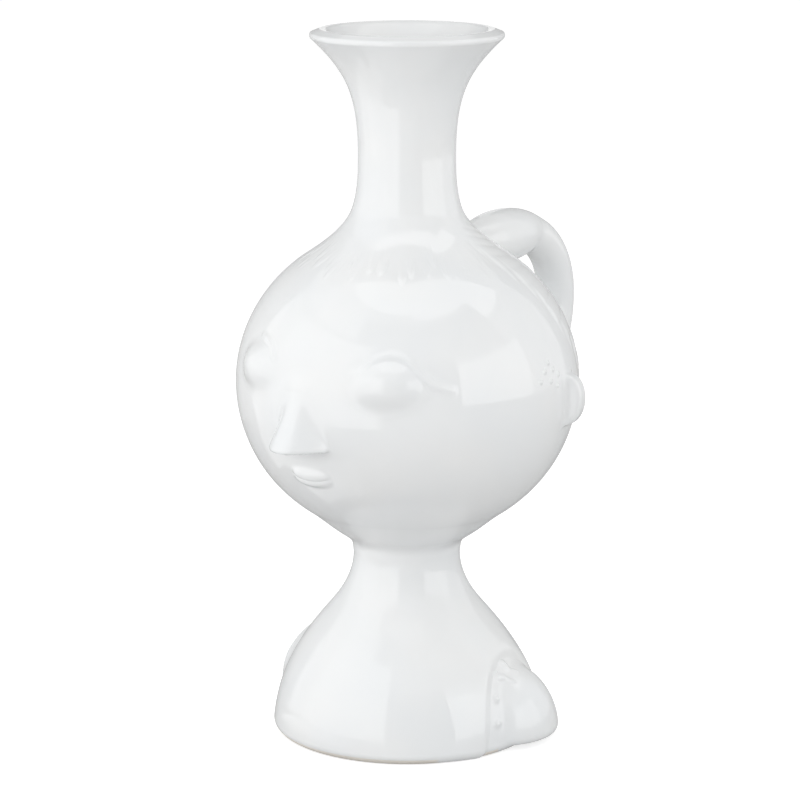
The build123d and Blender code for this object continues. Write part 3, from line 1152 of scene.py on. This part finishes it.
@dataclass
class Hair(Relief):
    """Combed strands in low relief: a fringe round the front and hair drawn back to the knot."""

    proud: float = 0.65
    strands: int = 80
    drift: Waves = ((3.2, 5.0, 0.0), (1.8, 9.0, 0.0))
    fringe_height: float = 203.0
    fringe_fade: Span = (1.0, 9.0)
    fringe_proud: float = 0.55
    fringe_edge: float = 2.6
    fringe_roundness: float = 0.7
    groove: float = 0.2
    lengths: Waves = ((2.0, 2.4, 0.0), (1.4, 5.1, 1.0))
    weight: float = 0.55
    weights: Waves = ((0.3, 1.7, 0.6), (0.15, 3.9, 0.0))
    right_thins: Triple = (20.0, 5.0, 0.3)
    sides_thin: Triple = (42.0, 70.0, 0.6)
    scallop: float = 4.0
    hairline_height: float = 209.5
    hairline_slope: float = 54.0
    hairline_waves: Waves = ((1.6, 1 / 2.3, 0.0), (1.1, 1 / 0.9, 1.0))
    hairline_edge: float = 9.0
    split_azimuth: float = 90.0
    split_edge: Span = (-4.0, 14.0)
    knot_height: float = 196.0
    knot_gap: float = 6.0
    drawn_strands: float = 5.6
    drawn_weights: Span = (0.55, 0.45)
    drawn_roundness: float = 0.8
    crown_fade: Span = (-14.0, -1.0)
    top_gap: float = 0.5
    fringe_bottom: float = 196.0
    back_bottom: float = 106.0

    def fringe(self, azimuth: Array, height: Array) -> Array:
        """Height of the short strands that hang from the neck's root.

        Args:
            azimuth: Azimuths in degrees.
            height: Heights.

        Returns:
            Heights, zero where there is no hair.
        """
        turn = (azimuth + waves(np.radians(azimuth), self.drift)) * self.strands / 360.0
        lock = np.floor(turn)
        ridge = np.abs(np.sin(np.pi * turn)) ** self.fringe_roundness
        rise = height - (self.fringe_height + waves(lock, self.lengths) + self.scallop * (1.0 - ridge))
        heavy = self.weight + waves(lock, self.weights)
        thinner = 1.0
        for (low, high, share), turned in ((self.right_thins, azimuth), (self.sides_thin, np.abs(azimuth))):
            thinner = thinner - share * step(low, high, turned)
        round_strand = self.groove + (1.0 - self.groove) * ridge
        ends = step(0.0, self.fringe_edge, rise) * (1.0 - step(*self.fringe_fade, rise))
        return self.fringe_proud * heavy * thinner * round_strand * ends

    def drawn(self, azimuth: Array, height: Array) -> Array:
        """Share of the full height of the hair that is drawn back to the knot.

        Args:
            azimuth: Azimuths in degrees.
            height: Heights.

        Returns:
            Shares, zero where there is no hair.
        """
        radius = self.body.head.radius(height)
        back = -np.cos(np.radians(azimuth)) * radius
        line = self.hairline_height - back * math.tan(math.radians(self.hairline_slope))
        line = line + waves(azimuth, self.hairline_waves)
        side = np.radians(180.0 - np.abs(azimuth)) * radius
        fan = np.degrees(np.arctan2(height - self.knot_height, side + self.knot_gap)) / self.drawn_strands
        strand = np.abs(np.sin(np.pi * fan)) ** self.drawn_roundness
        low, high = (self.split_azimuth + edge for edge in self.split_edge)
        body = self.drawn_weights[0] + self.drawn_weights[1] * strand
        return step(low, high, np.abs(azimuth)) * step(0.0, self.hairline_edge, height - line) * body

    def relief(self, azimuth: Array, height: Array) -> Array:
        """Height of the hair above the head.

        Args:
            azimuth: Azimuths in degrees, which may run on past the back.
            height: Heights.

        Returns:
            Heights, zero where there is no hair.
        """
        azimuth = np.where(azimuth > 180.0, azimuth - 360.0, azimuth)
        low, high = (self.body.neck_base + edge for edge in self.crown_fade)
        hair = np.maximum(self.fringe(azimuth, height), self.proud * self.drawn(azimuth, height))
        return hair * (1.0 - step(low, high, height))

    def build(self) -> None:
        """Builds and dresses the fringe and the back hair."""
        head, cut, top = self.body.head, self.split_azimuth, self.body.neck_base - self.top_gap
        front = Patch("combed_fringe", "hair_fringe", head, (-cut, cut), (self.fringe_bottom, top))
        back = Patch("drawn_back_hair", "back_hair", head, (cut, 360.0 - cut), (self.back_bottom, top))
        for patch in (front, back):
            self.raise_height(patch, self.relief)


@dataclass
class Handle(Relief):
    """The knot of hair below the crown, and the loop that runs from it back into the globe."""

    knot_half_length: float = 28.0
    knot_radius: float = 11.8
    knot_centre: Triple = (0.0, 68.0, 204.5)
    knot_blend: float = 6.0
    knot_tip: float = 0.015
    knot_limits: Triple = (0.4, 1.6, 1.0)
    knot_sink: float = 3 * SINK
    loop_thickness: float = 16.8
    loop_reach: float = 110.6
    loop_level: float = 173.3
    upper_radius: float = 31.2
    lower_radius: float = 49.0
    lower_sweep: float = 100.0
    loop_blend: float = 8.0
    loop_far: float = 2.1
    crease: float = 2.6
    stations: int = 240
    skip: int = 6
    around: int = 96

    def route(self) -> tuple[Array, Array]:
        """Middle line of the loop and its directions away from the loop's inside.

        Returns:
            Points, and unit vectors square to the line in the handle's plane.
        """
        upper = math.pi / 2 * self.upper_radius
        lower = math.radians(self.lower_sweep) * self.lower_radius
        way = np.linspace(0.0, upper + lower, self.stations)
        first = way <= upper
        turn = np.where(first, math.pi / 2 - way / self.upper_radius, -(way - upper) / self.lower_radius)
        bend = np.where(first, self.upper_radius, self.lower_radius)
        flat = np.zeros_like(turn)
        out = np.stack([flat, np.cos(turn), np.sin(turn)], axis=1)
        middle = np.stack([flat, self.loop_reach - bend, flat + self.loop_level], axis=1)
        return middle + out * bend[:, None], out

    def build(self) -> None:
        """Builds and dresses the knot and the loop."""
        head, centre, radius = self.body.head, np.array(self.knot_centre), self.loop_thickness / 2
        across, away, rise = np.eye(3)
        knot = spheroid(centre, np.eye(3), (self.knot_radius, self.knot_half_length, self.knot_radius))
        line, out = self.route()
        coil = line[::self.skip]
        thick = np.full(len(coil), radius)

        def knotted(points: Array) -> Array:
            """Distance to the head and the knot together."""
            return smooth_min(head.distance(points) + SINK, knot(points), self.knot_blend)

        def looped(points: Array) -> Array:
            """Distance to the head, the knot and the loop together."""
            whole = smooth_min(head.distance(points) + SINK, roll(points, coil, thick), self.loop_blend)
            return smooth_min(knot(points) + self.knot_sink, whole, self.crease)

        tilt = np.linspace(1.0 - self.knot_tip, self.knot_tip, self.stations)[:, None, None] * math.pi
        spin = np.arange(self.around * 2)[::-1, None] * (math.pi / self.around)
        ring = across * np.cos(spin) + rise * np.sin(spin)
        knot_rays = ring * (self.knot_radius * np.sin(tilt)) + away * (self.knot_half_length * np.cos(tilt))
        spin = np.arange(self.around)[:, None] * (2 * math.pi / self.around)
        loop_rays = out[:, None] * np.cos(spin) + across * np.sin(spin)
        loop_limits = (0.0, self.loop_far * radius, radius)
        for name, replaced, shape, starts, rays, limits in (
            ("gathered_knot", "hair_knot", knotted, centre, knot_rays, self.knot_limits),
            ("finger_loop", "handle_loop", looped, line[:, None], loop_rays, loop_limits),
        ):
            starts = np.broadcast_to(starts, rays.shape)
            way = cast(shape, starts, rays, limits)
            dress(add_tube(name, starts + rays * way[..., None]), replaced)


@dataclass
class Robe(Relief):
    """Sleeve arches on the sides of the bell, with the hands under them.

    The pairs for height, proud, fade and sink are for the left and the right sleeve.
    """

    sleeve_azimuth: float = 100.0
    sleeve_half_width: float = 29.8
    sleeve_height: Span = (40.5, 37.6)
    sleeve_area: Area = ((44.0, 160.0), (0.5, 64.0))
    front_proud: Span = (2.0, 4.6)
    apex_proud: Span = (2.4, 3.4)
    back_proud: float = 1.6
    front_run: Span = (6.0, -22.0)
    back_run: Span = (6.0, 24.0)
    outer_fade: Span = (24.0, 10.0)
    outer_limit: float = 1.4
    sinks_from: Span = (14.0, 26.0)
    sink_run: float = 24.0
    inner_slope: float = 0.6
    inner_start: float = 1.0
    leg_rounding: float = 0.6
    apex_rounding: float = 4.2
    valley_rounding: float = 2.6
    hand_azimuth: float = 107.0
    hand_radius: float = 26.0
    hand_half_length: float = 30.0
    hand_reach: float = 67.4
    hand_rise: float = 3.0
    hand_lean: float = 12.0
    hand_blend: float = 3.0
    hand_area: Area = ((70.0, 144.0), (0.05, 46.0))
    hand_focus: Span = (30.0, 12.0)
    hand_far: float = 24.0
    hem_lift: float = 2.3
    hem_rounding: float = 6.0
    fingertips: Route = ((87.0, 32.0), (82.2, 23.0), (80.0, 13.3))
    fingertip_radius: float = 0.95
    fingertip_blend: float = 2.0
    cuffs: tuple[Route, ...] = (
        ((93.0, 35.6), (96.0, 34.6), (98.0, 31.6), (102.0, 29.4)), ((87.5, 30.4), (91.0, 29.8), (95.5, 26.6)),
    )
    cuff_radius: float = 1.0
    cuff_points: int = 12
    cuff_end: float = 0.15
    cuff_roundness: float = 0.6
    cuff_blend: float = 1.0

    def arch(self, side: Side) -> Height:
        """Works out one sleeve: the right one was modelled fuller than the left one.

        Args:
            side: Side of the face.

        Returns:
            Its height above the bell.
        """
        at_front, at_apex = side.pick(self.front_proud), side.pick(self.apex_proud)
        tall, fade = side.pick(self.sleeve_height), side.pick(self.outer_fade)
        low = side.pick(self.sinks_from)

        def relief(azimuth: Array, height: Array) -> Array:
            """Height of the sleeve at azimuths and heights."""
            along = np.radians(side.value * azimuth - self.sleeve_azimuth) * self.body.foot.radius(height)
            gap = rounded(np.stack([along, height], axis=-1), (self.sleeve_half_width, tall))
            front = step(*self.front_run, along)
            proud = at_apex + (at_front - at_apex) * front
            proud = proud + (self.back_proud - at_apex) * step(*self.back_run, along)
            proud = proud * step(low - self.sink_run, low, height)
            ramp = proud * np.clip(1.0 - gap / fade, 0.0, self.outer_limit) ** 2
            drop = proud + self.inner_slope * (gap + self.inner_start)
            rounding = self.leg_rounding + (self.apex_rounding - self.leg_rounding) * (1.0 - front)
            fold = smooth_min(ramp, drop, rounding)
            valley = self.valley_rounding
            return smooth_max(fold, np.zeros_like(fold), valley) - valley / BLEND_PARTS

        return relief

    def hand_field(self, side: Side) -> Field:
        """Works out one hand, a rounded lobe that leans to the front, with fingertips and a folded cuff.

        Args:
            side: Side of the face.

        Returns:
            Its distance field.
        """
        turn = side.value * self.hand_azimuth
        out = outward(np.array(turn))
        across = outward(np.array(turn + 90.0))
        lean = math.radians(self.hand_lean)
        rise = np.array([0.0, 0.0, math.cos(lean)]) - across * (side.value * math.sin(lean))
        centre = out * (self.hand_reach - self.hand_radius) + np.array([0.0, 0.0, self.hand_rise])
        axes = np.stack([np.cross(rise, out), rise, out])
        palm = spheroid(centre, axes, (self.hand_radius, self.hand_half_length, self.hand_radius))

        def bare(points: Array) -> Array:
            """Distance to the lobe, lifted off the hem."""
            return smooth_max(palm(points), self.hem_lift - points[..., 2], self.hem_rounding)

        def laid(route: Sequence[Span]) -> Array:
            """Points of a route, laid on the bell or the lobe."""
            turns, heights = np.transpose(route)
            return self.lay(self.body.foot, side.value * turns, heights, bare)[0]

        tips = laid(self.fingertips)
        folds = []
        for cuff in self.cuffs:
            first, last = np.subtract(cuff[1], cuff[0]), np.subtract(cuff[-1], cuff[-2])
            folds.append(laid(spline(cuff, first, last, self.cuff_points)))
        share = np.linspace(self.cuff_end, math.pi - self.cuff_end, self.cuff_points)
        taper = self.cuff_radius * np.sin(share) ** self.cuff_roundness

        def lobe(points: Array) -> Array:
            """Distance to the lobe with its fingertips and the folds of the cuff."""
            whole = bare(points)
            for tip in tips:
                ball = np.linalg.norm(points - tip, axis=-1) - self.fingertip_radius
                whole = smooth_min(whole, ball, self.fingertip_blend)
            for fold in folds:
                whole = smooth_min(whole, roll(points, fold, taper), self.cuff_blend)
            return whole

        return lobe

    def build(self) -> None:
        """Builds and dresses the sleeves and the hands."""
        foot = self.body.foot
        reach, level = self.hand_focus
        for side in Side:
            word = side.word
            sleeve = Patch(f"{word}_sleeve_arch", f"{word}_sleeve", foot, *side.area(*self.sleeve_area))
            self.raise_height(sleeve, self.arch(side))
            focus = outward(np.array(side.value * self.hand_azimuth)) * reach + np.array([0.0, 0.0, level])
            hand = Patch(f"{word}_hand_lobe", f"{word}_hand", foot, *side.area(*self.hand_area))
            self.raise_field(hand, self.hand_field(side), self.hand_blend, focus, self.hand_far)


class Stand(Enum):
    """How a lit sheet is put up, with its columns and rows of points."""

    HUNG = (25, 13)
    UPRIGHT = (25, 2)
    FLAT = (49, 2)


@dataclass(frozen=True)
class Sheet:
    """Lit sheet round the axis that only reflections see.

    Its turns are degrees to the right of the camera. Its ends are degrees above the head's level where
    it hangs, heights where it stands upright and distances where it lies flat. Its place is its
    distance, or its height where it lies flat. Its strength is 1 for white.
    """

    name: str
    stand: Stand
    turns: Span
    ends: Span
    place: float
    strength: float


@dataclass
class Studio:
    """White paper floor, softboxes, lit sheets that only reflections see, and the photograph's camera.

    Each lamp has its name, its degrees to the right of the camera and above the level, and its watts.
    """

    azimuth: float = 37.0
    distance: float = 1260.0
    height: float = 420.0
    aim_height: float = 143.1
    aim_side: float = -2.9
    focal_pixels: float = 3052.0
    picture: float = 800.0
    sensor: float = 36.0
    clip_end: float = 30.0
    head_level: float = 150.0
    sheet_clear: float = 1.5
    least_dip: float = 0.01
    floor_half: float = 6000.0
    surround: Span = (0.55, 1.0)
    lamp_reach: float = 1.15
    lamp_size: float = 0.7
    lamps: tuple[tuple[str, float, float, float], ...] = (
        ("left_back_softbox", -110.0, 14.0, 2.6),
        ("left_softbox", -72.0, 14.0, 2.6),
        ("left_front_softbox", -36.0, 14.0, 2.2),
        ("right_front_softbox", 36.0, 14.0, 3.6),
        ("right_back_softbox", 110.0, 14.0, 2.2),
        ("top_softbox", 20.0, 66.0, 0.9),
    )
    sheets: tuple[Sheet, ...] = (
        Sheet("left_card", Stand.UPRIGHT, (-17.0, -94.0), (1.5, 480.0), 420.0, 1.6),
        Sheet("left_card_end", Stand.UPRIGHT, (-94.0, -118.0), (1.5, 480.0), 420.0, 1.2),
        Sheet("right_wall", Stand.UPRIGHT, (36.0, 91.0), (1.5, 1020.0), 1800.0, 1.8),
        Sheet("left_high", Stand.HUNG, (-44.0, -112.0), (42.0, 64.0), 1300.0, 1.4),
        Sheet("left_ceiling", Stand.HUNG, (-110.0, 10.0), (65.0, 89.0), 1300.0, 2.1),
        Sheet("right_ceiling", Stand.HUNG, (10.0, 80.0), (60.0, 89.0), 1300.0, 2.1),
        Sheet("right_high", Stand.HUNG, (80.0, 116.0), (46.0, 89.0), 1300.0, 2.1),
        Sheet("front_haze", Stand.HUNG, (-44.0, 80.0), (29.0, 57.0), 1300.0, 0.6),
        Sheet("opening", Stand.HUNG, (-40.0, 36.0), (-8.0, 29.0), 1300.0, 0.15),
        Sheet("left_back", Stand.HUNG, (-175.0, -124.0), (-18.0, 40.0), 1300.0, 0.5),
        Sheet("right_back", Stand.HUNG, (130.0, 175.0), (-18.0, 40.0), 1300.0, 0.5),
        # Painted shade: a dim sheet that only the gloss sees, standing for the table in the vase's shadow.
        Sheet("shaded_table_reflection", Stand.FLAT, (-180.0, 180.0), (40.0, 1750.0), 0.6, 0.4),
        # Painted reflections: bright sheets that only the gloss sees, standing for the lit table at the front
        # left.
        Sheet("left_lit_table", Stand.FLAT, (-118.0, -58.0), (190.0, 420.0), 0.9, 1.0),
        Sheet("left_near_lit_table", Stand.FLAT, (-100.0, -52.0), (104.0, 190.0), 0.9, 1.25),
        Sheet("left_near_lit_table_edge", Stand.FLAT, (-100.0, -52.0), (82.0, 104.0), 0.9, 0.95),
        Sheet("left_near_lit_table_side", Stand.FLAT, (-52.0, -36.0), (82.0, 190.0), 0.9, 0.85),
    )

    def way(self, turn: Array, rise: Array) -> Array:
        """Unit vectors at degrees to the right of the camera and above the level."""
        way = outward(self.azimuth + turn) * np.cos(np.radians(rise))[..., None]
        way[..., 2] = np.sin(np.radians(rise))
        return way

    @staticmethod
    def aim(thing: Thing, place: Array, target: Array) -> None:
        """Adds a camera or a lamp at a place in millimetres and turns it to a point."""
        bpy.context.collection.objects.link(thing)
        thing.location = Vector(place * MM)
        thing.rotation_euler = Vector((target - place) * MM).to_track_quat("-Z", "Y").to_euler()

    def camera(self) -> None:
        """Adds the camera."""
        data = bpy.data.cameras.new("camera")
        data.sensor_width = self.sensor
        data.lens = self.focal_pixels / self.picture * self.sensor
        data.clip_end = self.clip_end
        made = bpy.data.objects.new("camera", data)
        place = outward(np.array(self.azimuth)) * self.distance + np.array([0.0, 0.0, self.height])
        side = outward(np.array(self.azimuth + 90.0)) * self.aim_side
        self.aim(made, place, side + np.array([0.0, 0.0, self.aim_height]))
        bpy.context.scene.camera = made

    def lamp(self, name: str, turn: float, rise: float, watts: float) -> None:
        """Adds a softbox that reflections don't see.

        Args:
            name: Name of the lamp.
            turn: Degrees to the right of the camera.
            rise: Degrees above the level.
            watts: Power.
        """
        data = bpy.data.lights.new(name, "AREA")
        data.shape = "RECTANGLE"
        data.size = data.size_y = self.lamp_size
        data.energy = watts
        made = bpy.data.objects.new(name, data)
        made.visible_glossy = False
        middle = np.array([0.0, 0.0, self.head_level])
        self.aim(made, self.way(np.array(turn), np.array(rise)) * (self.lamp_reach / MM) + middle, middle)

    def points(self, sheet: Sheet) -> Array:
        """Works out a sheet.

        Args:
            sheet: Sheet to work out.

        Returns:
            Points by row and column.
        """
        columns, rows = sheet.stand.value
        turn, end = np.meshgrid(np.linspace(*sheet.turns, columns), np.linspace(*sheet.ends, rows))
        if sheet.stand is Stand.HUNG:
            dip = np.sin(np.radians(np.maximum(-end, self.least_dip)))
            reach = np.minimum(sheet.place, (self.head_level - self.sheet_clear) / dip)
            return self.way(turn, end) * reach[..., None] + np.array([0.0, 0.0, self.head_level])
        upright = sheet.stand is Stand.UPRIGHT
        points = outward(self.azimuth + turn) * (sheet.place if upright else end[..., None])
        points[..., 2] = end if upright else sheet.place
        return points

    def light(self, sheet: Sheet) -> None:
        """Adds a sheet that shines into reflections only.

        Args:
            sheet: Sheet to add.
        """
        points = self.points(sheet)
        faces = grid_faces(points.shape[:2], flip=sheet.stand is Stand.FLAT)
        made = add_mesh(sheet.name, points.reshape(-1, 3), faces)
        made.data.materials.append(Glow(sheet.name, sheet.strength).material())
        made.visible_camera = made.visible_diffuse = made.visible_shadow = False
        made.visible_transmission = made.visible_volume_scatter = False

    def world(self) -> None:
        """Sets a soft white surround, which the camera and the gloss see as white."""
        world = bpy.data.worlds.new("surround")
        bpy.context.scene.world = world
        world.use_nodes = True
        tree = world.node_tree
        tree.nodes.clear()
        low, high = self.surround
        strength = node(tree, "MapRange", {"To Min": low, "To Max": high}, {"Value": in_view(tree)})
        light = node(tree, "Background", {"Color": linear(WHITE)}, {"Strength": strength.outputs["Result"]})
        node(tree, "OutputWorld", links={"Surface": light.outputs[0]})

    def build(self) -> None:
        """Builds the whole studio."""
        bpy.context.scene.view_settings.view_transform = "Standard"
        self.camera()
        self.world()
        corners = np.array([[-1, -1, 0], [1, -1, 0], [1, 1, 0], [-1, 1, 0]]) * self.floor_half
        floor = add_mesh("paper_floor", corners, np.array([[0, 1, 2, 3]]))
        floor.data.materials.append(StudioPaper().material())
        for lamp in self.lamps:
            self.lamp(*lamp)
        for sheet in self.sheets:
            self.light(sheet)


def main() -> None:
    """Builds the vase piece by piece, then the studio."""
    logging.basicConfig(level=logging.INFO, format="%(message)s")
    body = TurnedBody()
    body.build()
    for group in (Face(body), Ears(body), Hair(body), Handle(body), Robe(body)):
        group.build()
        LOG.info("%s is done", type(group).__name__)
    Studio().build()


if __name__ == "__main__":
    main()
